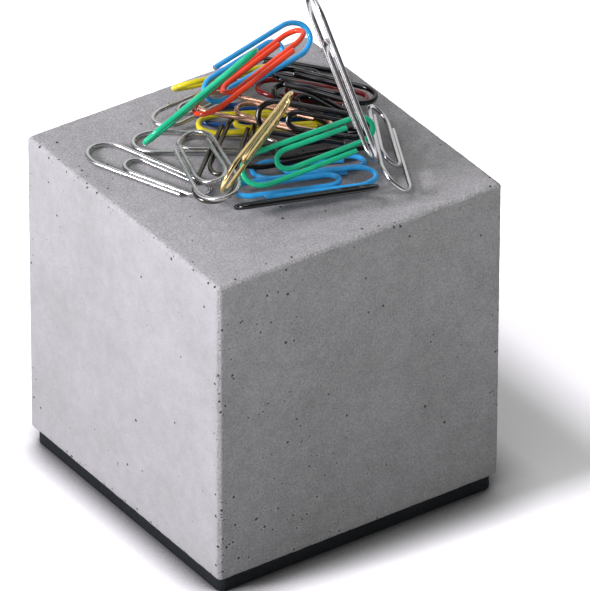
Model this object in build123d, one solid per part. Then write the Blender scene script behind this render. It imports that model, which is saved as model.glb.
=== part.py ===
from build123d import *
from collections import namedtuple
import math
import os
import numpy as np

os.makedirs("parts", exist_ok=True)

# Millimetres, +Z up, origin in the middle of the pad's underside.
# -Y is the shaded front face of the holder and -X the bright one.

# Holder
block_width = 61.0
block_height = 62.0
block_corner = 1.0
block_rim = 0.8
block_foot = 0.6
pad_thickness = 3.0
pad_inset = 0.9
pad_corner = 1.6
magnet_width = 30.0
magnet_thickness = 10.0
magnet_cover = 3.0

# Wire, and the way it is bent
bare_wire = 0.85
heavy_wire = 0.9
coated_wire = 1.0
leg_gap = 0.2
rest_gap = 0.15
bend_shoulder = 0.85
bend_flat = 0.46
bend_corner = 1.6
bend_share = 0.47
line_step = 0.3

# Clips: whole length and width, how far both wire ends stop short of the tail,
# how far the inner bend lies behind the nose, and how much narrower the tail is on each side
coated_length = 26.5
coated_width = 7.2
coated_end_short = 4.5
coated_inner_inset = 6.6
coated_taper = 0.3

small_coated_length = 21.0
small_coated_width = 6.6
small_coated_end_short = 3.5
small_coated_inner_inset = 5.5
small_coated_taper = 0.3

bare_length = 26.5
bare_width = 8.0
bare_end_short = 3.6
bare_inner_inset = 8.0
bare_taper = 0.8

small_bare_length = 21.0
small_bare_width = 6.6
small_bare_end_short = 3.5
small_bare_inner_inset = 5.5
small_bare_taper = 0.4

wide_bare_length = 24.0
wide_bare_width = 8.6
wide_bare_end_short = 3.5
wide_bare_inner_inset = 6.0
wide_bare_taper = 0.4

long_bare_length = 32.0
long_bare_width = 8.4
long_bare_end_short = 6.0
long_bare_inner_inset = 8.6
long_bare_taper = 0.6

ClipStyle = namedtuple("ClipStyle", "wire length width end_short inner_inset taper")
coated = ClipStyle(
    coated_wire, coated_length, coated_width, coated_end_short, coated_inner_inset, coated_taper
)
small_coated = ClipStyle(
    coated_wire,
    small_coated_length,
    small_coated_width,
    small_coated_end_short,
    small_coated_inner_inset,
    small_coated_taper,
)
bare = ClipStyle(bare_wire, bare_length, bare_width, bare_end_short, bare_inner_inset, bare_taper)
small_bare = ClipStyle(
    bare_wire,
    small_bare_length,
    small_bare_width,
    small_bare_end_short,
    small_bare_inner_inset,
    small_bare_taper,
)
wide_bare = ClipStyle(
    bare_wire, wide_bare_length, wide_bare_width, wide_bare_end_short, wide_bare_inner_inset, wide_bare_taper
)
long_bare = ClipStyle(
    heavy_wire, long_bare_length, long_bare_width, long_bare_end_short, long_bare_inner_inset, long_bare_taper
)

# The pile, lowest clip first. Each clip's middle from the block's axis, then
# the way its nose points, how far the nose is raised and the turn about its length.
PlacedClip = namedtuple("PlacedClip", "node style x y heading lean roll")
pile = [
    PlacedClip("clip_silver_left", bare, -19.5, 7.5, 109, 0, 180),
    PlacedClip("clip_silver_middle", bare, -6.0, 9.5, 144, 0, 0),
    PlacedClip("clip_blue_under", small_coated, 4.5, -7.5, 154, 0, 180),
    PlacedClip("clip_blue_front", coated, 0.0, -13.0, -20, 0, 0),
    PlacedClip("clip_blue_low", coated, 9.5, 11.5, 155, 0, 0),
    PlacedClip("clip_black_back", small_coated, 20.5, 20.0, -54, 0, 0),
    PlacedClip("clip_red_low", small_coated, 18.0, 11.0, 130, 0, 180),
    PlacedClip("clip_silver_back", small_bare, -0.5, 19.5, 186, 0, 180),
    PlacedClip("clip_yellow_back", small_coated, 6.0, 20.5, 168, 0, 41),
    PlacedClip("clip_black_low", coated, 7.0, -4.0, 165, 0, 0),
    PlacedClip("clip_silver_right", bare, 17.5, -13.5, 243, 0, 137),
    PlacedClip("clip_yellow_middle", coated, 6.5, 7.5, 152, 0, 180),
    PlacedClip("clip_bronze", bare, -8.5, -0.5, 222, -5, 0),
    PlacedClip("clip_black_middle", small_coated, 15.0, 5.0, 100, 0, 180),
    PlacedClip("clip_black_right", small_coated, 17.5, 6.5, -60, 0, 0),
    PlacedClip("clip_copper", bare, 3.5, 5.5, 122, 0, 180),
    PlacedClip("clip_black_loop", small_coated, 7.0, -5.0, 128, 0, 122),
    PlacedClip("clip_silver_wide", wide_bare, -13.5, -2.0, 252, 2, 10),
    PlacedClip("clip_black_front", coated, -4.0, -19.0, -19, 0, 150),
    PlacedClip("clip_green_front", coated, 1.0, -12.5, 171, -7, 138),
    PlacedClip("clip_brass", bare, -9.0, -11.0, 208, -9, 72),
    PlacedClip("clip_blue_top", coated, 9.0, 15.5, 9, 5, -134),
    PlacedClip("clip_red_top", coated, 4.0, 10.0, 185, -17, 193),
    PlacedClip("clip_green_lean", coated, -8.0, 8.0, 166, -35, 41),
    PlacedClip("clip_silver_tall", long_bare, 9.0, -11.0, 95, 55, 70),
]

block_top = pad_thickness + block_height
block_half = block_width / 2


def make_block():
    block = Box(block_width, block_width, block_height, align=(Align.CENTER, Align.CENTER, Align.MIN))
    block = fillet(block.edges().filter_by(Axis.Z), block_corner)
    block = fillet(block.faces().sort_by(Axis.Z)[-1].edges(), block_rim)
    block = fillet(block.faces().sort_by(Axis.Z)[0].edges(), block_foot)
    return Pos(0, 0, pad_thickness) * block - make_magnet()


def make_magnet():
    magnet = Box(magnet_width, magnet_width, magnet_thickness, align=(Align.CENTER, Align.CENTER, Align.MAX))
    return Pos(0, 0, block_top - magnet_cover) * magnet


def make_pad():
    width = block_width - 2 * pad_inset
    return extrude(RectangleRounded(width, width, pad_corner), pad_thickness)


def clip_corners(style):
    """Corners of the wire's middle line: nose at +X, first leg at -Y."""
    pitch = style.wire + leg_gap
    nose_half = (style.width - style.wire) / 2
    tail_half = nose_half - style.taper
    nose = (style.length - style.wire) / 2
    tail = -nose
    inner = nose - style.inner_inset

    def half(x):
        return tail_half + style.taper * (x - tail) / (nose - tail)

    end = tail + style.end_short
    tail_bend = tail_half - pitch / 2
    tail_turn = tail + bend_shoulder * tail_bend
    inner_half = half(inner) - pitch
    nose_turn = nose - bend_shoulder * nose_half
    inner_turn = inner - bend_shoulder * inner_half
    return [
        (end, -half(end)),
        (nose_turn, -nose_half),
        (nose, -bend_flat * nose_half),
        (nose, bend_flat * nose_half),
        (nose_turn, nose_half),
        (tail_turn, half(tail_turn)),
        (tail, pitch / 2 + bend_flat * tail_bend),
        (tail, pitch / 2 - bend_flat * tail_bend),
        (tail_turn, pitch - half(tail_turn)),
        (inner_turn, -inner_half),
        (inner, -bend_flat * inner_half),
        (inner, bend_flat * inner_half),
        (inner_turn, inner_half),
        (end, half(end) - pitch),
    ]


def corner_radius(before, corner, after):
    run_in = math.dist(before, corner)
    run_out = math.dist(corner, after)
    turn_in = math.atan2(corner[1] - before[1], corner[0] - before[0])
    turn_out = math.atan2(after[1] - corner[1], after[0] - corner[0])
    turn = abs(math.remainder(turn_out - turn_in, 2 * math.pi))
    cut = min(bend_share * min(run_in, run_out), bend_corner)
    return cut / math.tan(turn / 2)


def clip_path(style):
    corners = clip_corners(style)
    radii = [corner_radius(*corners[i - 1:i + 2]) for i in range(1, len(corners) - 1)]
    return FilletPolyline(*corners, radius=radii)


def make_clip(path, style):
    section = Plane(path @ 0, z_dir=path % 0) * Circle(style.wire / 2)
    return sweep(section, path)


def path_points(path):
    count = math.ceil(path.length / line_step)
    return np.array([tuple(path @ (i / count)) for i in range(count + 1)])


def turn_of(clip):
    return Rot(0, 0, clip.heading) * Rot(0, -clip.lean, 0) * Rot(clip.roll, 0, 0)


def rest_height(line, wire, lower):
    """Height at which a turned clip comes to rest on the block and on the clips below it."""
    over_block = (abs(line[:, 0]) < block_half) & (abs(line[:, 1]) < block_half)
    height = block_top + wire / 2 + rest_gap - line[over_block, 2].min()
    for other, other_wire in lower:
        reach = (wire + other_wire) / 2 + rest_gap
        apart = line[:, None, :2] - other[None, :, :2]
        flat = (apart ** 2).sum(axis=2)
        mine, theirs = np.nonzero(flat < reach ** 2)
        if len(mine):
            stack = other[theirs, 2] + np.sqrt(reach ** 2 - flat[mine, theirs]) - line[mine, 2]
            height = max(height, stack.max())
    return height


def place_clips():
    paths = {style: clip_path(style) for style in {clip.style for clip in pile}}
    solids = {style: make_clip(path, style) for style, path in paths.items()}
    lines = {style: path_points(path) for style, path in paths.items()}
    lower = []
    placed = {}
    for clip in pile:
        turn = turn_of(clip)
        frame = Plane(turn)
        axes = np.array([tuple(frame.x_dir), tuple(frame.y_dir), tuple(frame.z_dir)])
        line = lines[clip.style] @ axes + [clip.x, clip.y, 0]
        height = rest_height(line, clip.style.wire, lower)
        lower.append((line + [0, 0, height], clip.style.wire))
        placed[clip.node] = Pos(clip.x, clip.y, height) * turn * solids[clip.style]
    return placed


shapes = {"concrete_block": make_block(), "magnet": make_magnet(), "base_pad": make_pad()}
shapes.update(place_clips())
for node, shape in shapes.items():
    export_step(shape, f"parts/{node}.step")
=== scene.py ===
import bpy
import math
from mathutils import Matrix, Vector


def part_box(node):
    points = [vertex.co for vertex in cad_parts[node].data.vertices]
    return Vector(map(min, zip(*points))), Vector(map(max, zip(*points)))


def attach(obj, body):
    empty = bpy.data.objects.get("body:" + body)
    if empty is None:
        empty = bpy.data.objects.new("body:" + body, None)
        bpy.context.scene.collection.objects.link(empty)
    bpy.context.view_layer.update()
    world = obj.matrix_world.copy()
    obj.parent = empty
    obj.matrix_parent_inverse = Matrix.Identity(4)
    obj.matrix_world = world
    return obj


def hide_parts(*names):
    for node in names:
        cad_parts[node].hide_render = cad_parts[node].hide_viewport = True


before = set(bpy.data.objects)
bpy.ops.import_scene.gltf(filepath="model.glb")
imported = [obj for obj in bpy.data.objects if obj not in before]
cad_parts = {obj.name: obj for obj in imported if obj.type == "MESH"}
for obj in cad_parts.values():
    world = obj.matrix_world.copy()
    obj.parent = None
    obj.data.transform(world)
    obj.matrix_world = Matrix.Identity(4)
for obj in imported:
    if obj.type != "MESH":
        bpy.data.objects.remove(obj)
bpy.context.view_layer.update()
mm = 0.001
print("frame loaded:", len(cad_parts), "nodes")


def addNode(tree, kind, inputs=None, **settings):
    node = tree.nodes.new(kind)
    for name, value in settings.items():
        setattr(node, name, value)
    for key, value in (inputs or {}).items():
        if isinstance(value, bpy.types.NodeSocket):
            tree.links.new(value, node.inputs[key])
        else:
            node.inputs[key].default_value = value
    return node


def makeGroup(name, kind, inputs, outputs):
    tree = bpy.data.node_groups.new(name, kind)
    for socketName, socketType, value in inputs:
        socket = tree.interface.new_socket(socketName, in_out="INPUT", socket_type=socketType)
        if value is not None:
            socket.default_value = value
    for socketName, socketType in outputs:
        tree.interface.new_socket(socketName, in_out="OUTPUT", socket_type=socketType)
    return tree, addNode(tree, "NodeGroupInput").outputs, addNode(tree, "NodeGroupOutput").inputs


def mapped(tree, value, low, high, toLow=0.0, toHigh=1.0):
    return addNode(tree, "ShaderNodeMapRange", {0: value, 1: low, 2: high, 3: toLow, 4: toHigh}).outputs[0]


def maths(tree, operation, first, second=0.0):
    return addNode(tree, "ShaderNodeMath", {0: first, 1: second}, operation=operation).outputs[0]


def noise(tree, vector, scale, detail=4.0, roughness=0.55):
    return addNode(tree, "ShaderNodeTexNoise", {"Vector": vector, "Scale": scale, "Detail": detail,
                                                "Roughness": roughness}).outputs["Fac"]


def mixed(tree, factor, first, second, blend="MIX"):
    node = addNode(tree, "ShaderNodeMix", data_type="RGBA", blend_type=blend)
    for key, value in ((0, factor), (6, first), (7, second)):
        if isinstance(value, bpy.types.NodeSocket):
            tree.links.new(value, node.inputs[key])
        else:
            node.inputs[key].default_value = value
    return node.outputs[2]


# shared surface effects

mottleShape = {"contrast": (0.3, 0.7), "grainContrast": (0.28, 0.72), "speckEdge": (0.10, 0.05),
               "speckShare": 0.72}
handlingShape = {"smudgeContrast": (0.3, 0.7), "lineContrast": (0.25, 0.75), "alongScale": 90.0}


def buildMottle():  # clouds, sand grain and pin specks of a cast mix
    tree, inputs, outputs = makeGroup(
        "castMottle", "ShaderNodeTree",
        [("Vector", "NodeSocketVector", None), ("Cloud Scale", "NodeSocketFloat", 60.0),
         ("Blotch Scale", "NodeSocketFloat", 480.0), ("Grain Scale", "NodeSocketFloat", 2600.0),
         ("Speck Scale", "NodeSocketFloat", 420.0)],
        [("Cloud", "NodeSocketFloat"), ("Blotch", "NodeSocketFloat"), ("Grain", "NodeSocketFloat"),
         ("Speck", "NodeSocketFloat")])
    cloud = noise(tree, inputs["Vector"], inputs["Cloud Scale"], 6.0, 0.62)
    tree.links.new(mapped(tree, cloud, *mottleShape["contrast"]), outputs["Cloud"])
    blotch = noise(tree, inputs["Vector"], inputs["Blotch Scale"], 4.0, 0.6)
    tree.links.new(mapped(tree, blotch, *mottleShape["contrast"]), outputs["Blotch"])
    grain = noise(tree, inputs["Vector"], inputs["Grain Scale"], 1.5, 0.5)
    tree.links.new(mapped(tree, grain, *mottleShape["grainContrast"]), outputs["Grain"])
    cells = addNode(tree, "ShaderNodeTexVoronoi",
                    {"Vector": inputs["Vector"], "Scale": inputs["Speck Scale"]})
    pick = addNode(tree, "ShaderNodeSeparateColor", {0: cells.outputs["Color"]})
    dot = mapped(tree, cells.outputs["Distance"], *mottleShape["speckEdge"])
    chosen = maths(tree, "GREATER_THAN", pick.outputs[0], mottleShape["speckShare"])
    tree.links.new(maths(tree, "MULTIPLY", dot, chosen), outputs["Speck"])
    return tree


def buildHandling():  # smudges and fine rubbed lines from use
    tree, inputs, outputs = makeGroup(
        "handlingMarks", "ShaderNodeTree",
        [("Vector", "NodeSocketVector", None), ("Run", "NodeSocketFloat", 0.0),
         ("Turn", "NodeSocketFloat", 0.0), ("Smudge Scale", "NodeSocketFloat", 350.0),
         ("Line Scale", "NodeSocketFloat", 14.0)],
        [("Smudge", "NodeSocketFloat"), ("Lines", "NodeSocketFloat")])
    smudge = noise(tree, inputs["Vector"], inputs["Smudge Scale"], 5.0, 0.6)
    tree.links.new(mapped(tree, smudge, *handlingShape["smudgeContrast"]), outputs["Smudge"])
    along = maths(tree, "MULTIPLY", inputs["Run"], handlingShape["alongScale"])
    around = addNode(tree, "ShaderNodeCombineXYZ", {0: along, 1: inputs["Turn"]})
    lines = noise(tree, around.outputs[0], inputs["Line Scale"], 4.0, 0.7)
    tree.links.new(mapped(tree, lines, *handlingShape["lineContrast"]), outputs["Lines"])
    return tree


castMottle = buildMottle()
handlingMarks = buildHandling()


def startMaterial(name):
    material = bpy.data.materials.new(name)
    material.use_nodes = True
    tree = material.node_tree
    shader = tree.nodes["Principled BSDF"]
    coords = addNode(tree, "ShaderNodeTexCoord").outputs["Object"]
    return material, tree, shader, coords


def bumped(tree, shader, height, strength, distance):
    bump = addNode(tree, "ShaderNodeBump", {"Height": height, "Strength": strength, "Distance": distance})
    tree.links.new(bump.outputs[0], shader.inputs["Normal"])


concreteLook = {"dark": (0.325, 0.325, 0.325, 1), "pale": (0.385, 0.380, 0.387, 1),
                "pitShade": (0.05, 0.05, 0.05, 1), "pitShadeStrength": 0.8,
                "speck": (0.10, 0.10, 0.10, 1), "speckStrength": 0.5, "speckRelief": 1.5,
                "blotch": (0.04, 0.07), "sand": (0.06, 0.22),
                # the foot shade is painted shade, darker low down, most on the -y side
                "footPaintedShade": (0.12, 0.364), "footReach": (3 * mm, 60 * mm),
                # painted shade under the clip pile: its colour, middle, reach, fade, wobble and patchiness
                "pileShade": (0.04, 0.04, 0.042, 1), "pileShadeMiddle": (9 * mm, 1 * mm),
                "pileShadeReach": (17 * mm, 19 * mm), "pileShadeFade": (0.30, 1.25, 0.62, 0.0),
                "pileShadeWobble": (-0.15, 0.15), "pileShadePatches": (0.7, 1.0),
                "roughness": (0.82, 0.95), "bump": 0.5, "bumpDepth": (0.03 * mm, 0.07 * mm),
                "edgeDepth": 0.25 * mm, "specular": 0.3}


def makeConcrete():
    look = concreteLook
    black, white = (0.0, 0.0, 0.0, 1), (1, 1, 1, 1)
    material, tree, shader, coords = startMaterial("castConcrete")
    mottle = addNode(tree, "ShaderNodeGroup", {}, node_tree=castMottle)
    tree.links.new(coords, mottle.inputs["Vector"])
    cloud, blotch, grain, speck = mottle.outputs
    coarse, edge, pitShade = (addNode(tree, "ShaderNodeAttribute", attribute_name=name).outputs["Fac"]
                          for name in ("coarse", "edge", "pitShade"))
    colour = mixed(tree, cloud, look["dark"], look["pale"])
    height = addNode(tree, "ShaderNodeSeparateXYZ", {0: coords}).outputs[2]
    foot = maths(tree, "MULTIPLY", mapped(tree, height, *look["footReach"], 1.0, 0.0),
                 mapped(tree, coarse, 0, 1, *look["footPaintedShade"]))  # painted shade: darker towards the foot, most on the side facing -y
    colour = mixed(tree, foot, colour, black)
    spread = [1 / reach for reach in look["pileShadeReach"]] + [0.0]  # painted shade: a soft grey patch on the top where the clips lie
    start = [-middle / reach for middle, reach in zip(look["pileShadeMiddle"], look["pileShadeReach"])] + [0.0]
    across = addNode(tree, "ShaderNodeVectorMath", {0: coords, 1: spread, 2: start},
                     operation="MULTIPLY_ADD").outputs[0]
    apart = addNode(tree, "ShaderNodeVectorMath", {0: across}, operation="LENGTH").outputs["Value"]
    apart = maths(tree, "ADD", apart, mapped(tree, cloud, 0, 1, *look["pileShadeWobble"]))
    pileShadeMask = maths(tree, "MULTIPLY", mapped(tree, apart, *look["pileShadeFade"]),
                   mapped(tree, blotch, 0, 1, *look["pileShadePatches"]))
    colour = mixed(tree, pileShadeMask, colour, look["pileShade"])
    for flecks, strength in ((blotch, look["blotch"]), (grain, look["sand"])):
        colour = mixed(tree, mapped(tree, coarse, 0, 1, *strength), colour,
                       mixed(tree, flecks, black, white), "OVERLAY")
    colour = mixed(tree, maths(tree, "MULTIPLY", speck, look["speckStrength"]), colour, look["speck"])
    # painted shade: the walls of the pits are coloured near black
    colour = mixed(tree, maths(tree, "MULTIPLY", pitShade, look["pitShadeStrength"]), colour, look["pitShade"])
    tree.links.new(colour, shader.inputs["Base Color"])
    tree.links.new(mapped(tree, grain, 0, 1, *look["roughness"]), shader.inputs["Roughness"])
    relief = maths(tree, "SUBTRACT", grain, maths(tree, "MULTIPLY", speck, look["speckRelief"]))
    depth = maths(tree, "ADD", mapped(tree, coarse, 0, 1, *look["bumpDepth"]),
                  maths(tree, "MULTIPLY", edge, look["edgeDepth"]))
    bumped(tree, shader, relief, look["bump"], depth)
    shader.inputs["Specular IOR Level"].default_value = look["specular"]
    return material


padLook = {"dark": (0.003, 0.0045, 0.005, 1), "pale": (0.010, 0.0135, 0.015, 1), "cells": 3200.0,
           "pinHoles": 1500.0, "roughness": (0.75, 0.95), "bump": 0.7, "bumpDepth": 0.12 * mm,
           "specular": 0.25}


def makePadRubber():
    look = padLook
    material, tree, shader, coords = startMaterial("blackPadRubber")
    mottle = addNode(tree, "ShaderNodeGroup", {}, node_tree=castMottle)
    tree.links.new(coords, mottle.inputs["Vector"])
    mottle.inputs["Grain Scale"].default_value = look["cells"]
    mottle.inputs["Speck Scale"].default_value = look["pinHoles"]
    cloud, grain, speck = (mottle.outputs[name] for name in ("Cloud", "Grain", "Speck"))
    tree.links.new(mixed(tree, grain, look["dark"], look["pale"]), shader.inputs["Base Color"])
    tree.links.new(mapped(tree, cloud, 0, 1, *look["roughness"]), shader.inputs["Roughness"])
    bumped(tree, shader, maths(tree, "SUBTRACT", grain, speck), look["bump"], look["bumpDepth"])
    shader.inputs["Specular IOR Level"].default_value = look["specular"]
    return material


def wireMarks(tree, coords):
    marks = addNode(tree, "ShaderNodeGroup", {}, node_tree=handlingMarks)
    tree.links.new(coords, marks.inputs["Vector"])
    for name, socket in (("wireRun", "Run"), ("wireTurn", "Turn")):
        along = addNode(tree, "ShaderNodeAttribute", attribute_name=name).outputs["Fac"]
        tree.links.new(along, marks.inputs[socket])
    return marks.outputs


coatingLook = {"blue": (0.030, 0.385, 0.820), "green": (0.008, 0.480, 0.240), "red": (0.800, 0.058, 0.018),
               "yellow": (0.760, 0.660, 0.020), "black": (0.0015, 0.0015, 0.002),
               # painted shade: darker copies of red and blue for the clips deep in the pile
               "darkRed": (0.200, 0.010, 0.010), "darkBlue": (0.012, 0.080, 0.260),
               "roughness": (0.08, 0.20), "shade": 0.75, "bump": 0.4, "bumpDepth": 0.010 * mm,
               "specular": 0.4, "coat": 0.15, "coatRoughness": 0.12}


def makeCoating(colourName):
    look = coatingLook
    material, tree, shader, coords = startMaterial("coating" + colourName[0].upper() + colourName[1:])
    smudge, lines = wireMarks(tree, coords)
    full = (*look[colourName], 1)
    shaded = (*(channel * look["shade"] for channel in look[colourName]), 1)
    tree.links.new(mixed(tree, smudge, shaded, full), shader.inputs["Base Color"])
    tree.links.new(mapped(tree, smudge, 0, 1, *look["roughness"]), shader.inputs["Roughness"])
    bumped(tree, shader, lines, look["bump"], look["bumpDepth"])
    shader.inputs["Specular IOR Level"].default_value = look["specular"]
    shader.inputs["Coat Weight"].default_value = look["coat"]
    shader.inputs["Coat Roughness"].default_value = look["coatRoughness"]
    return material


metalLook = {"nickel": (0.58, 0.58, 0.585), "brass": (0.80, 0.60, 0.28), "copper": (0.72, 0.44, 0.30),
             "bronze": (0.145, 0.135, 0.115), "steelCore": (0.56, 0.56, 0.57),
             "roughness": (0.18, 0.30), "tarnish": 0.82, "bump": 0.5, "bumpDepth": 0.010 * mm}


def makeMetal(metalName):
    look = metalLook
    material, tree, shader, coords = startMaterial("plated" + metalName[0].upper() + metalName[1:])
    smudge, lines = wireMarks(tree, coords)
    full = (*look[metalName], 1)
    dulled = (*(channel * look["tarnish"] for channel in look[metalName]), 1)
    tree.links.new(mixed(tree, smudge, dulled, full), shader.inputs["Base Color"])
    tree.links.new(mapped(tree, smudge, 0, 1, *look["roughness"]), shader.inputs["Roughness"])
    bumped(tree, shader, lines, look["bump"], look["bumpDepth"])
    shader.inputs["Metallic"].default_value = 1.0
    return material


concrete = makeConcrete()
padRubber = makePadRubber()
coatings = {name: makeCoating(name)
            for name in ("blue", "green", "red", "yellow", "black", "darkRed", "darkBlue")}
metals = {name: makeMetal(name) for name in ("nickel", "brass", "copper", "bronze", "steelCore")}
print("materials ready:", len(bpy.data.materials))


def setInput(modifier, tree, name, value):
    for item in tree.interface.items_tree:
        if item.item_type == "SOCKET" and item.in_out == "INPUT" and item.name == name:
            modifier[item.identifier] = value


def shapedBy(tree, mesh, name, values):  # runs a node tree on a mesh and keeps the result as a plain mesh
    source = bpy.data.objects.new(name + "Source", mesh)
    bpy.context.scene.collection.objects.link(source)
    modifier = source.modifiers.new("shape", "NODES")
    modifier.node_group = tree
    for key, value in values.items():
        setInput(modifier, tree, key, value)
    depsgraph = bpy.context.evaluated_depsgraph_get()
    made = bpy.data.meshes.new_from_object(source.evaluated_get(depsgraph), preserve_all_data_layers=True,
                                           depsgraph=depsgraph)
    bpy.data.objects.remove(source)
    bpy.data.meshes.remove(mesh)
    made.name = name
    piece = bpy.data.objects.new(name, made)
    bpy.context.scene.collection.objects.link(piece)
    return piece


# the block and the pad start as a box of grid lines, closer together at the edges, drawn in to round edges

def gridLines(low, high, edge, edgeSteps, step):
    count = max(2, round((high - low - 2 * edge) / step))
    inner = [low + edge + (high - low - 2 * edge) * i / count for i in range(count + 1)]
    start = [low + edge * i / edgeSteps for i in range(edgeSteps)]
    return start + inner + [low + high - value for value in reversed(start)]


def roundPoint(point, half, low, high, corner, rim, foot):
    x, y, z = point
    side = max(abs(x), abs(y))
    inset = half - side
    top = high - z
    bottom = z - low
    for depth, radius, sign in ((top, rim, 1), (bottom, foot, -1)):
        if depth < radius and inset < radius:
            out, up = 1 - inset / radius, 1 - depth / radius
            length = math.hypot(out, up)
            scale = max(out, up) / length if length else 1.0
            inset, depth = radius * (1 - out * scale), radius * (1 - up * scale)
            z = high - depth if sign > 0 else low + depth
    reach = half - inset
    if side > 0:
        x, y = x * reach / side, y * reach / side
    start = reach - min(corner, reach)
    outX, outY = abs(x) - start, abs(y) - start
    if outX > 0 and outY > 0:
        scale = max(outX, outY) / math.hypot(outX, outY)
        x = math.copysign(start + outX * scale, x)
        y = math.copysign(start + outY * scale, y)
    return x, y, z


def roundBox(name, half, low, high, corner, rim, foot, step, edgeSteps):
    edge = max(corner, rim, foot)
    across = gridLines(-half, half, edge, edgeSteps, step)
    upright = gridLines(low, high, min(edge, (high - low) / 3), edgeSteps, step)
    points, faces = {}, []

    def corner4(a, b, c, d):
        for key in (a, b, c, d):
            points.setdefault(key, len(points))
        faces.append([points[key] for key in (a, b, c, d)])

    last, lastZ = len(across) - 1, len(upright) - 1
    for i in range(last):
        for j in range(last):
            corner4((i, j, lastZ), (i + 1, j, lastZ), (i + 1, j + 1, lastZ), (i, j + 1, lastZ))
            corner4((i, j, 0), (i, j + 1, 0), (i + 1, j + 1, 0), (i + 1, j, 0))
        for k in range(lastZ):
            corner4((i, 0, k), (i + 1, 0, k), (i + 1, 0, k + 1), (i, 0, k + 1))
            corner4((i, last, k), (i, last, k + 1), (i + 1, last, k + 1), (i + 1, last, k))
            corner4((0, i, k), (0, i, k + 1), (0, i + 1, k + 1), (0, i + 1, k))
            corner4((last, i, k), (last, i + 1, k), (last, i + 1, k + 1), (last, i, k + 1))
    placed = [roundPoint((across[i], across[j], upright[k]), half, low, high, corner, rim, foot)
              for i, j, k in points]
    mesh = bpy.data.meshes.new(name)
    mesh.from_pydata(placed, [], faces)
    return mesh


def fieldNoise(tree, scale, detail, roughness, seed):  # noise on the piece's own position, from -1 to 0
    node = addNode(tree, "ShaderNodeTexNoise",
                   {"W": seed, "Scale": scale, "Detail": detail, "Roughness": roughness},
                   noise_dimensions="4D")
    return maths(tree, "SUBTRACT", node.outputs["Fac"], 1.0)


def position(tree):
    return addNode(tree, "ShaderNodeSeparateXYZ",
                   {0: addNode(tree, "GeometryNodeInputPosition").outputs[0]}).outputs


def edgeNearness(tree, half, low, high, reach):  # 1 on an edge of the block, 0 further in than reach
    place = position(tree)
    depths = [maths(tree, "SUBTRACT", half, maths(tree, "ABSOLUTE", place[axis])) for axis in (0, 1)]
    depths.append(maths(tree, "MINIMUM", maths(tree, "SUBTRACT", high, place[2]),
                        maths(tree, "SUBTRACT", place[2], low)))
    shortest = maths(tree, "MINIMUM", maths(tree, "MINIMUM", depths[0], depths[1]), depths[2])
    longest = maths(tree, "MAXIMUM", maths(tree, "MAXIMUM", depths[0], depths[1]), depths[2])
    total = maths(tree, "ADD", maths(tree, "ADD", depths[0], depths[1]), depths[2])
    second = maths(tree, "SUBTRACT", maths(tree, "SUBTRACT", total, shortest), longest)
    return mapped(tree, second, reach, 0.0)


blockShape = {"corner": 1.0 * mm, "rim": 0.8 * mm, "foot": 0.6 * mm, "step": 0.72 * mm, "edgeSteps": 5,
              "edgeWobble": 0.45 * mm, "edgeScale": 700.0, "edgeReach": 2.5 * mm, "edgeKeenness": 3.0,
              "faceWobble": 0.10 * mm, "faceScale": 90.0, "sandiest": (0.0, -0.9, 1.0),
              "poreDensity": 34000.0, "edgePores": 13.0, "poreRadius": 0.19 * mm,
              "poreSize": (0.55, 1.1, 3.0),
              "patchScale": 160.0, "patchLevel": (3.0, 2.1), "patchLeast": 0.05,
              "gatherAcross": (-30 * mm, 5 * mm, 9.0, 0.7), "gatherUp": (1.4, 0.5), "plainSides": 0.5,
              "crease": 0.6, "seed": 11}


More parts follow.
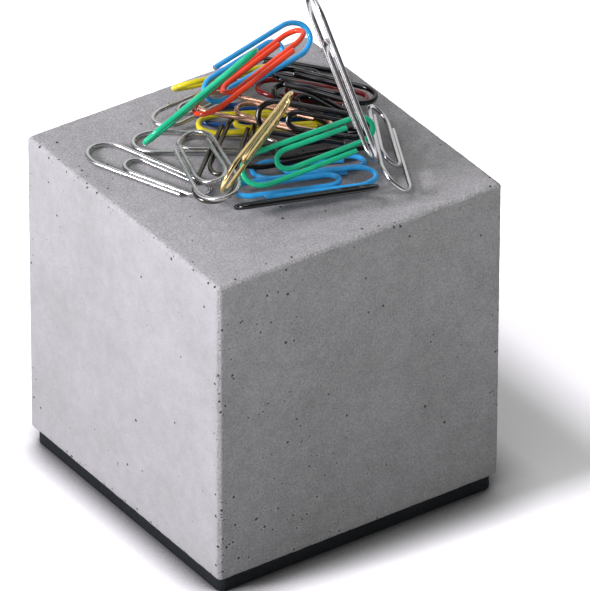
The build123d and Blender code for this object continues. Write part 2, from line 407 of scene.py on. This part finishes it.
def buildCastTree():
    shape = blockShape
    tree, inputs, outputs = makeGroup(
        "castBlock", "GeometryNodeTree",
        [("Geometry", "NodeSocketGeometry", None), ("Half Width", "NodeSocketFloat", 0.03),
         ("Low", "NodeSocketFloat", 0.003), ("High", "NodeSocketFloat", 0.065),
         ("Edge Wobble", "NodeSocketFloat", 0.0003), ("Face Wobble", "NodeSocketFloat", 0.00005),
         ("Edge Reach", "NodeSocketFloat", 0.0025), ("Pore Density", "NodeSocketFloat", 20000.0),
         ("Edge Pores", "NodeSocketFloat", 8.0), ("Pore Radius", "NodeSocketFloat", 0.0002),
         ("Seed", "NodeSocketInt", 1), ("Hollow Size", "NodeSocketVector", None),
         ("Hollow Middle", "NodeSocketVector", None), ("Material", "NodeSocketMaterial", None)],
        [("Geometry", "NodeSocketGeometry")])
    nearEdge = edgeNearness(tree, inputs["Half Width"], inputs["Low"], inputs["High"], inputs["Edge Reach"])
    rough = maths(tree, "MULTIPLY", fieldNoise(tree, shape["edgeScale"], 4.0, 0.6, 3.0),
                  inputs["Edge Wobble"])
    broad = maths(tree, "MULTIPLY", fieldNoise(tree, shape["faceScale"], 3.0, 0.5, 8.0),
                  inputs["Face Wobble"])
    keenEdge = maths(tree, "POWER", nearEdge, shape["edgeKeenness"])
    shift = maths(tree, "ADD", maths(tree, "MULTIPLY", rough, keenEdge), broad)
    normal = addNode(tree, "GeometryNodeInputNormal").outputs[0]
    offset = addNode(tree, "ShaderNodeVectorMath", {0: normal, "Scale": shift}, operation="SCALE").outputs[0]
    wobbled = addNode(tree, "GeometryNodeSetPosition",
                      {"Geometry": inputs["Geometry"], "Offset": offset}).outputs[0]

    def facing(direction):
        node = addNode(tree, "ShaderNodeVectorMath", {0: normal, 1: direction}, operation="DOT_PRODUCT")
        return maths(tree, "MAXIMUM", node.outputs["Value"], 0.0)

    marks = {"coarse": facing(shape["sandiest"]), "edge": keenEdge}
    for name, value in marks.items():  # the open top is sandiest, the moulded sides smoother
        wobbled = addNode(tree, "GeometryNodeStoreNamedAttribute",
                          {"Geometry": wobbled, "Name": name, "Value": value}, data_type="FLOAT",
                          domain="POINT").outputs[0]
    patches = fieldNoise(tree, shape["patchScale"], 2.0, 0.5, 5.0)
    patches = maths(tree, "ADD", maths(tree, "MULTIPLY", patches, shape["patchLevel"][0]),
                    shape["patchLevel"][1])
    place = position(tree)  # on the front face more of them near the left edge and low down
    gathered = maths(tree, "MULTIPLY", mapped(tree, place[0], *shape["gatherAcross"]),
                     mapped(tree, place[2], inputs["Low"], inputs["High"], *shape["gatherUp"]))
    front = facing((0.0, -1.0, 0.0))
    spread = addNode(tree, "ShaderNodeMix", {0: front, 2: shape["plainSides"], 3: gathered}).outputs[0]
    weight = maths(tree, "MULTIPLY", maths(tree, "MAXIMUM", patches, shape["patchLeast"]),
                   maths(tree, "ADD", spread, maths(tree, "MULTIPLY", nearEdge, inputs["Edge Pores"])))
    points = addNode(tree, "GeometryNodeDistributePointsOnFaces",
                     {"Mesh": wobbled, "Density": maths(tree, "MULTIPLY", weight, inputs["Pore Density"]),
                      "Seed": inputs["Seed"]}, distribute_method="RANDOM")
    chance = addNode(tree, "FunctionNodeRandomValue", {2: 0.0, 3: 1.0, "Seed": inputs["Seed"]},
                     data_type="FLOAT").outputs[1]
    least, extra, power = shape["poreSize"]  # mostly small pits, a few large
    size = maths(tree, "ADD", least, maths(tree, "MULTIPLY", maths(tree, "POWER", chance, power), extra))
    bubble = addNode(tree, "GeometryNodeMeshIcoSphere", {"Radius": 1.0, "Subdivisions": 2}).outputs[0]
    # the pit walls are marked so their painted shade can be coloured in
    marked = addNode(tree, "GeometryNodeStoreNamedAttribute",
                     {"Geometry": bubble, "Name": "pitShade", "Value": 1.0}, data_type="FLOAT",
                     domain="FACE").outputs[0]
    turns = addNode(tree, "FunctionNodeRandomValue",
                    {0: (0, 0, 0), 1: (6.28, 6.28, 6.28), "Seed": inputs["Seed"]}, data_type="FLOAT_VECTOR")
    bubbles = addNode(tree, "GeometryNodeInstanceOnPoints",
                      {"Points": points.outputs[0], "Instance": marked, "Rotation": turns.outputs[0],
                       "Scale": maths(tree, "MULTIPLY", size, inputs["Pore Radius"])})
    bubbles = addNode(tree, "GeometryNodeRealizeInstances", {0: bubbles.outputs[0]})
    hollow = addNode(tree, "GeometryNodeMeshCube", {"Size": inputs["Hollow Size"]}).outputs[0]
    hollow = addNode(tree, "GeometryNodeTransform",
                     {"Geometry": hollow, "Translation": inputs["Hollow Middle"]})
    cut = addNode(tree, "GeometryNodeMeshBoolean", {"Mesh 1": wobbled}, operation="DIFFERENCE",
                  solver="MANIFOLD")
    tree.links.new(bubbles.outputs[0], cut.inputs["Mesh 2"])
    tree.links.new(hollow.outputs[0], cut.inputs["Mesh 2"])
    angle = addNode(tree, "GeometryNodeInputMeshEdgeAngle").outputs[0]
    keen = addNode(tree, "FunctionNodeCompare", {0: angle, 1: shape["crease"]}, data_type="FLOAT",
                   operation="GREATER_THAN")
    smooth = addNode(tree, "GeometryNodeSetShadeSmooth", {"Geometry": cut.outputs[0], "Shade Smooth": True})
    creased = addNode(tree, "GeometryNodeSetShadeSmooth",
                      {"Geometry": smooth.outputs[0], "Selection": keen.outputs[0], "Shade Smooth": False},
                      domain="EDGE")
    whole = addNode(tree, "GeometryNodeRealizeInstances", {0: creased.outputs[0]})
    dressed = addNode(tree, "GeometryNodeSetMaterial",
                      {"Geometry": whole.outputs[0], "Material": inputs["Material"]})
    tree.links.new(dressed.outputs[0], outputs[0])
    return tree


def buildBlock():
    shape = blockShape
    low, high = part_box("concrete_block")
    hollowLow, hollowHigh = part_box("magnet")
    half = high.x
    mesh = roundBox("concreteBlock", half, low.z, high.z, shape["corner"], shape["rim"], shape["foot"],
                    shape["step"], shape["edgeSteps"])
    piece = shapedBy(buildCastTree(), mesh, "concreteBlock", {
        "Half Width": half, "Low": low.z, "High": high.z, "Edge Wobble": shape["edgeWobble"],
        "Edge Reach": shape["edgeReach"], "Face Wobble": shape["faceWobble"],
        "Pore Density": shape["poreDensity"],
        "Edge Pores": shape["edgePores"], "Pore Radius": shape["poreRadius"], "Seed": shape["seed"],
        "Hollow Size": hollowHigh - hollowLow, "Hollow Middle": (hollowLow + hollowHigh) / 2,
        "Material": concrete})
    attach(piece, "holder")
    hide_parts("concrete_block")
    print("block:", len(piece.data.polygons), "faces")


padShape = {"corner": 1.6 * mm, "rim": 0.35 * mm, "foot": 0.35 * mm, "step": 1.5 * mm, "edgeSteps": 4}


def buildPad():
    shape = padShape
    low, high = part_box("base_pad")
    mesh = roundBox("basePad", high.x, low.z, high.z, shape["corner"], shape["rim"], shape["foot"],
                    shape["step"], shape["edgeSteps"])
    mesh.shade_smooth()
    mesh.materials.append(padRubber)
    piece = bpy.data.objects.new("basePad", mesh)
    bpy.context.scene.collection.objects.link(piece)
    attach(piece, "holder")
    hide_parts("base_pad")
    print("pad:", len(mesh.polygons), "faces")


def dressMagnet():
    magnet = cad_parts["magnet"]
    magnet.data.materials.clear()
    magnet.data.materials.append(metals["nickel"])


# paper clips: one length of wire, bent at the nose, at the tail and inside again

def buildWireTree():
    tree, inputs, outputs = makeGroup(
        "bentWire", "GeometryNodeTree",
        [("Geometry", "NodeSocketGeometry", None), ("Wire", "NodeSocketFloat", 0.001),
         ("Core Share", "NodeSocketFloat", 0.8), ("Bare Tip", "NodeSocketFloat", 0.0001),
         ("Sides", "NodeSocketInt", 16), ("Arc Points", "NodeSocketInt", 7),
         ("Skin", "NodeSocketMaterial", None), ("Core", "NodeSocketMaterial", None)],
        [("Geometry", "NodeSocketGeometry")])
    line = addNode(tree, "GeometryNodeMeshToCurve", {0: inputs["Geometry"]}).outputs[0]
    bend = addNode(tree, "GeometryNodeInputNamedAttribute", {"Name": "bend"}, data_type="FLOAT").outputs[0]
    bent = addNode(tree, "GeometryNodeFilletCurve",
                   {"Curve": line, "Count": inputs["Arc Points"], "Radius": bend, "Limit Radius": True},
                   mode="POLY").outputs[0]
    total = addNode(tree, "GeometryNodeCurveLength", {0: bent}).outputs[0]
    cut = addNode(tree, "GeometryNodeTrimCurve", {"Curve": bent}, mode="LENGTH")
    tree.links.new(inputs["Bare Tip"], cut.inputs[4])
    tree.links.new(maths(tree, "SUBTRACT", total, inputs["Bare Tip"]), cut.inputs[5])
    run = addNode(tree, "GeometryNodeSplineParameter").outputs["Length"]
    lined = addNode(tree, "GeometryNodeStoreNamedAttribute",
                    {"Geometry": cut.outputs[0], "Name": "wireRun", "Value": run}, data_type="FLOAT",
                    domain="POINT")
    ring = addNode(tree, "GeometryNodeCurvePrimitiveCircle",
                   {"Resolution": inputs["Sides"], "Radius": maths(tree, "MULTIPLY", inputs["Wire"], 0.5)})
    turn = addNode(tree, "GeometryNodeSplineParameter").outputs["Factor"]
    ringed = addNode(tree, "GeometryNodeStoreNamedAttribute",
                     {"Geometry": ring.outputs[0], "Name": "wireTurn", "Value": turn}, data_type="FLOAT",
                     domain="POINT")
    tube = addNode(tree, "GeometryNodeCurveToMesh",
                   {"Curve": lined.outputs[0], "Profile Curve": ringed.outputs[0],
                    "Fill Caps": True}).outputs[0]
    # only the end caps have faces of more than four corners
    corners = addNode(tree, "GeometryNodeInputMeshFaceNeighbors").outputs["Vertex Count"]
    ends = addNode(tree, "FunctionNodeCompare", {2: corners, 3: 4}, data_type="INT",
                   operation="GREATER_THAN")
    smooth = addNode(tree, "GeometryNodeSetShadeSmooth", {"Geometry": tube, "Shade Smooth": True}).outputs[0]
    skinned = addNode(tree, "GeometryNodeSetMaterial",
                      {"Geometry": smooth, "Material": inputs["Skin"]}).outputs[0]
    lip = addNode(tree, "GeometryNodeExtrudeMesh",
                  {"Mesh": skinned, "Selection": ends.outputs[0], "Offset Scale": 0.0}, mode="FACES")
    drawn = addNode(tree, "GeometryNodeScaleElements",
                    {"Geometry": lip.outputs["Mesh"], "Selection": lip.outputs["Top"],
                     "Scale": inputs["Core Share"]}, domain="FACE").outputs[0]
    tip = addNode(tree, "GeometryNodeExtrudeMesh",
                  {"Mesh": drawn, "Selection": lip.outputs["Top"], "Offset Scale": inputs["Bare Tip"]},
                  mode="FACES")
    bare = addNode(tree, "FunctionNodeBooleanMath", {0: tip.outputs["Top"], 1: tip.outputs["Side"]},
                   operation="OR")
    cored = addNode(tree, "GeometryNodeSetMaterial",
                    {"Geometry": tip.outputs["Mesh"], "Selection": bare.outputs[0],
                     "Material": inputs["Core"]}).outputs[0]
    angle = addNode(tree, "GeometryNodeInputMeshEdgeAngle").outputs[0]
    keen = addNode(tree, "FunctionNodeCompare", {0: angle, 1: bendShape["crease"]}, data_type="FLOAT",
                   operation="GREATER_THAN")
    creased = addNode(tree, "GeometryNodeSetShadeSmooth",
                      {"Geometry": cored, "Selection": keen.outputs[0], "Shade Smooth": False},
                      domain="EDGE")
    whole = addNode(tree, "GeometryNodeRealizeInstances", {0: creased.outputs[0]})
    tree.links.new(whole.outputs[0], outputs[0])
    return tree


# core share and bare tip: of a bare clip, then of a coated one
bendShape = {"legGap": 0.2 * mm, "shoulder": 0.85, "flat": 0.46, "corner": 1.6 * mm, "share": 0.47,
             "sides": 18, "arcPoints": 8, "coreShare": (0.86, 0.78), "bareTip": (0.05 * mm, 0.14 * mm),
             "crease": 0.7}
# millimetres: wire, whole length and width, ends short of the tail, inner bend inset, taper of each side
clipSizes = {
    "coated": (1.0, 26.5, 7.2, 4.5, 6.6, 0.3),
    "smallCoated": (1.0, 21.0, 6.6, 3.5, 5.5, 0.3),
    "bare": (0.85, 26.5, 8.0, 3.6, 8.0, 0.8),
    "smallBare": (0.85, 21.0, 6.6, 3.5, 5.5, 0.4),
    "wideBare": (0.85, 24.0, 8.6, 3.5, 6.0, 0.4),
    "longBare": (0.9, 32.0, 8.4, 6.0, 8.6, 0.6),
}
clipPile = {  # size, then in degrees the way the nose points, its rise and the turn about the clip's length
    "clip_silver_left": ("bare", 109, 0, 180),
    "clip_silver_middle": ("bare", 144, 0, 0),
    "clip_blue_under": ("smallCoated", 154, 0, 180),
    "clip_blue_front": ("coated", -20, 0, 0),
    "clip_blue_low": ("coated", 155, 0, 0),
    "clip_black_back": ("smallCoated", -54, 0, 0),
    "clip_red_low": ("smallCoated", 130, 0, 180),
    "clip_silver_back": ("smallBare", 186, 0, 180),
    "clip_yellow_back": ("smallCoated", 168, 0, 41),
    "clip_black_low": ("coated", 165, 0, 0),
    "clip_silver_right": ("bare", 243, 0, 137),
    "clip_yellow_middle": ("coated", 152, 0, 180),
    "clip_bronze": ("bare", 222, -5, 0),
    "clip_black_middle": ("smallCoated", 100, 0, 180),
    "clip_black_right": ("smallCoated", -60, 0, 0),
    "clip_copper": ("bare", 122, 0, 180),
    "clip_black_loop": ("smallCoated", 128, 0, 122),
    "clip_silver_wide": ("wideBare", 252, 2, 10),
    "clip_black_front": ("coated", -19, 0, 150),
    "clip_green_front": ("coated", 171, -7, 138),
    "clip_brass": ("bare", 208, -9, 72),
    "clip_blue_top": ("coated", 9, 5, -134),
    "clip_red_top": ("coated", 185, -17, 193),
    "clip_green_lean": ("coated", 166, -35, 41),
    "clip_silver_tall": ("longBare", 95, 55, 70),
}


def clipCorners(wire, length, width, endShort, innerInset, taper):
    pitch = wire + bendShape["legGap"]
    shoulder, flat = bendShape["shoulder"], bendShape["flat"]
    noseHalf = (width - wire) / 2
    tailHalf = noseHalf - taper
    nose = (length - wire) / 2
    tail = -nose
    inner = nose - innerInset

    def half(x):
        return tailHalf + taper * (x - tail) / (nose - tail)

    end = tail + endShort
    tailBend = tailHalf - pitch / 2
    tailTurn = tail + shoulder * tailBend
    innerHalf = half(inner) - pitch
    noseTurn, innerTurn = nose - shoulder * noseHalf, inner - shoulder * innerHalf
    return [(end, -half(end)), (noseTurn, -noseHalf), (nose, -flat * noseHalf), (nose, flat * noseHalf),
            (noseTurn, noseHalf), (tailTurn, half(tailTurn)), (tail, pitch / 2 + flat * tailBend),
            (tail, pitch / 2 - flat * tailBend), (tailTurn, pitch - half(tailTurn)), (innerTurn, -innerHalf),
            (inner, -flat * innerHalf), (inner, flat * innerHalf), (innerTurn, innerHalf),
            (end, half(end) - pitch)]


def bendRadius(before, corner, after):
    runIn, runOut = corner - before, after - corner
    turn = runIn.angle(runOut)
    cut = min(bendShape["share"] * min(runIn.length, runOut.length), bendShape["corner"])
    return cut / math.tan(turn / 2)


def wireLine(name, sizes, heading, rise, roll):
    turn = (Matrix.Rotation(math.radians(heading), 3, "Z") @ Matrix.Rotation(math.radians(-rise), 3, "Y")
            @ Matrix.Rotation(math.radians(roll), 3, "X"))
    points = [turn @ Vector((x, y, 0)) for x, y in clipCorners(*sizes)]
    mesh = bpy.data.meshes.new(name)
    mesh.from_pydata(points, [(i, i + 1) for i in range(len(points) - 1)], [])
    bends = mesh.attributes.new("bend", "FLOAT", "POINT")
    for i in range(1, len(points) - 1):
        bends.data[i].value = bendRadius(*points[i - 1:i + 2])
    return mesh


def buildClips():
    tree = buildWireTree()
    finish = {"silver": metals["nickel"], **coatings, **metals}
    # painted shade: the low red and blue clips take darker copies of their coatings
    paintedShadeCoats = {"clip_red_low": "darkRed", "clip_blue_low": "darkBlue"}
    misfit = 0.0
    for node, (size, heading, rise, roll) in clipPile.items():
        sizes = [value * mm for value in clipSizes[size]]
        colourName = paintedShadeCoats.get(node, node.split("_")[1])
        coated = colourName in coatings
        piece = shapedBy(tree, wireLine(node, sizes, heading, rise, roll), node.replace("clip_", "wire_"), {
            "Wire": sizes[0], "Core Share": bendShape["coreShare"][coated],
            "Bare Tip": bendShape["bareTip"][coated], "Sides": bendShape["sides"],
            "Arc Points": bendShape["arcPoints"], "Skin": finish[colourName],
            "Core": metals["steelCore"] if coated else finish[colourName]})
        low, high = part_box(node)
        points = [vertex.co for vertex in piece.data.vertices]
        mine = [[pick(point[axis] for point in points) for axis in range(3)] for pick in (min, max)]
        middle = (Vector(mine[0]) + Vector(mine[1])) / 2
        piece.data.transform(Matrix.Translation((low + high) / 2 - middle))
        misfit = max(misfit, ((high - low) - (Vector(mine[1]) - Vector(mine[0]))).length)
        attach(piece, node)
        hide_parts(node)
    print("clips:", len(clipPile), "largest misfit in mm", round(misfit / mm, 3))


buildBlock()
buildPad()
dressMagnet()
buildClips()


# floor, light and camera

stageSetting = {"floorSize": 4.0, "floorColour": 0.99, "floorBounce": 0.26, "floorRoughness": 0.9,
                "floorSpecular": 0.1, "paperScale": 8.0, "paper": (0.3, 0.7, 0.985, 1.0),
                "contactReach": 11.0 * mm, "contactShade": (0.45, 1.0, 0.05, 1.0),
                "skyTowards": (0.45, 0.65, 0.60), "skyFill": (-0.35, 0.55, 0.90, 0.38),
                "skyShown": (0.45, 0.90, 0.06, 1.0), "skyFront": (-0.10, -0.45, 0.0, 0.24),
                "lampAim": 40 * mm}
# compass and height in degrees, distance, size, power and whether it lights the floor alone
softboxes = {
    "overheadSoftbox": (165.0, 62.0, 0.9, 0.30, 1.4, False),
    "leftSoftbox": (172.0, 24.0, 1.2, 0.26, 16.5, False),
    "floorSoftbox": (163.0, 69.5, 0.9, 0.16, 5.6, True),
}
softboxColour = (1.0, 0.955, 1.045)


def seenDirectly(tree):  # 1 for what is seen or mirrored, 0 for light that bounces on
    path = addNode(tree, "ShaderNodeLightPath").outputs
    return maths(tree, "MAXIMUM", path["Is Camera Ray"],
                 maths(tree, "MAXIMUM", path["Is Glossy Ray"], path["Is Transmission Ray"]))


def buildFloor():
    half = stageSetting["floorSize"] / 2
    mesh = bpy.data.meshes.new("studioFloor")
    corners = [(-half, -half, 0), (half, -half, 0), (half, half, 0), (-half, half, 0)]
    mesh.from_pydata(corners, [], [(0, 1, 2, 3)])
    material, tree, shader, coords = startMaterial("paleFloor")
    paper = mapped(tree, noise(tree, coords, stageSetting["paperScale"], 3.0), *stageSetting["paper"])
    level = mapped(tree, seenDirectly(tree), 0, 1, stageSetting["floorBounce"], stageSetting["floorColour"])
    level = maths(tree, "MULTIPLY", paper, level)
    contact = addNode(tree, "ShaderNodeAmbientOcclusion", {"Distance": stageSetting["contactReach"]},
                      samples=8)
    shade = mapped(tree, contact.outputs["AO"], *stageSetting["contactShade"])
    level = maths(tree, "MULTIPLY", level, shade)
    grey = addNode(tree, "ShaderNodeCombineColor", {i: level for i in range(3)})
    tree.links.new(grey.outputs[0], shader.inputs["Base Color"])
    shader.inputs["Roughness"].default_value = stageSetting["floorRoughness"]
    shader.inputs["Specular IOR Level"].default_value = stageSetting["floorSpecular"]
    mesh.materials.append(material)
    floor = bpy.data.objects.new("studioFloor", mesh)
    bpy.context.scene.collection.objects.link(floor)
    return floor


def buildSky():  # a pale room, brighter above and behind the object
    world = bpy.data.worlds.new("studioSky")
    world.use_nodes = True
    bpy.context.scene.world = world
    tree = world.node_tree
    towards = addNode(tree, "ShaderNodeTexCoord").outputs["Generated"]
    across = addNode(tree, "ShaderNodeVectorMath", {0: towards, 1: stageSetting["skyTowards"]},
                     operation="DOT_PRODUCT").outputs["Value"]
    lights = mapped(tree, across, *stageSetting["skyFill"])
    shows = maths(tree, "ADD", mapped(tree, across, *stageSetting["skyShown"]),
                  mapped(tree, across, *stageSetting["skyFront"]))
    level = addNode(tree, "ShaderNodeMix", {0: seenDirectly(tree), 2: lights, 3: shows},
                    data_type="FLOAT").outputs[0]
    background = tree.nodes["Background"]
    background.inputs["Color"].default_value = (1, 1, 1, 1)
    tree.links.new(level, background.inputs["Strength"])


def buildSoftboxes(floor):
    floorOnly = bpy.data.collections.new("floorOnly")
    floorOnly.objects.link(floor)
    for name, (compass, height, distance, size, power, forFloor) in softboxes.items():
        light = bpy.data.lights.new(name, "AREA")
        light.shape = "SQUARE"
        light.size = size
        light.energy = power
        light.color = softboxColour
        lamp = bpy.data.objects.new(name, light)
        bpy.context.scene.collection.objects.link(lamp)
        around, above = math.radians(compass), math.radians(height)
        flat = math.cos(above)
        towards = Vector((math.cos(around) * flat, math.sin(around) * flat, math.sin(above)))
        lamp.location = towards * distance + Vector((0, 0, stageSetting["lampAim"]))
        lamp.rotation_euler = (-towards).to_track_quat("-Z", "Y").to_euler()
        if forFloor:
            lamp.light_linking.receiver_collection = floorOnly


cameraSetting = {"azimuth": -34.69, "elevation": 33.02, "roll": 0.14,
                 "aim": (-30.96 * mm, -54.6 * mm, 76.86 * mm), "distance": 1755.6 * mm,
                 "focalPixels": 10252.0, "imageLongSide": 591, "sensor": 36.0, "clip": (0.01, 20.0)}


def buildCamera():
    setting = cameraSetting
    data = bpy.data.cameras.new("photoCamera")
    data.sensor_width = setting["sensor"]
    data.lens = setting["sensor"] * setting["focalPixels"] / setting["imageLongSide"]
    data.clip_start, data.clip_end = setting["clip"]
    camera = bpy.data.objects.new("photoCamera", data)
    bpy.context.scene.collection.objects.link(camera)
    around, above = math.radians(setting["azimuth"]), math.radians(setting["elevation"])
    back = Vector((math.sin(around) * math.cos(above), -math.cos(around) * math.cos(above), math.sin(above)))
    turn = (-back).to_track_quat("-Z", "Y").to_matrix()
    turn = turn @ Matrix.Rotation(math.radians(setting["roll"]), 3, "Z")
    place = Vector(setting["aim"]) + back * setting["distance"]
    camera.matrix_world = Matrix.Translation(place) @ turn.to_4x4()
    bpy.context.scene.camera = camera


buildSky()
buildSoftboxes(buildFloor())
buildCamera()
bpy.context.scene.view_settings.view_transform = "Standard"
print("stage ready")
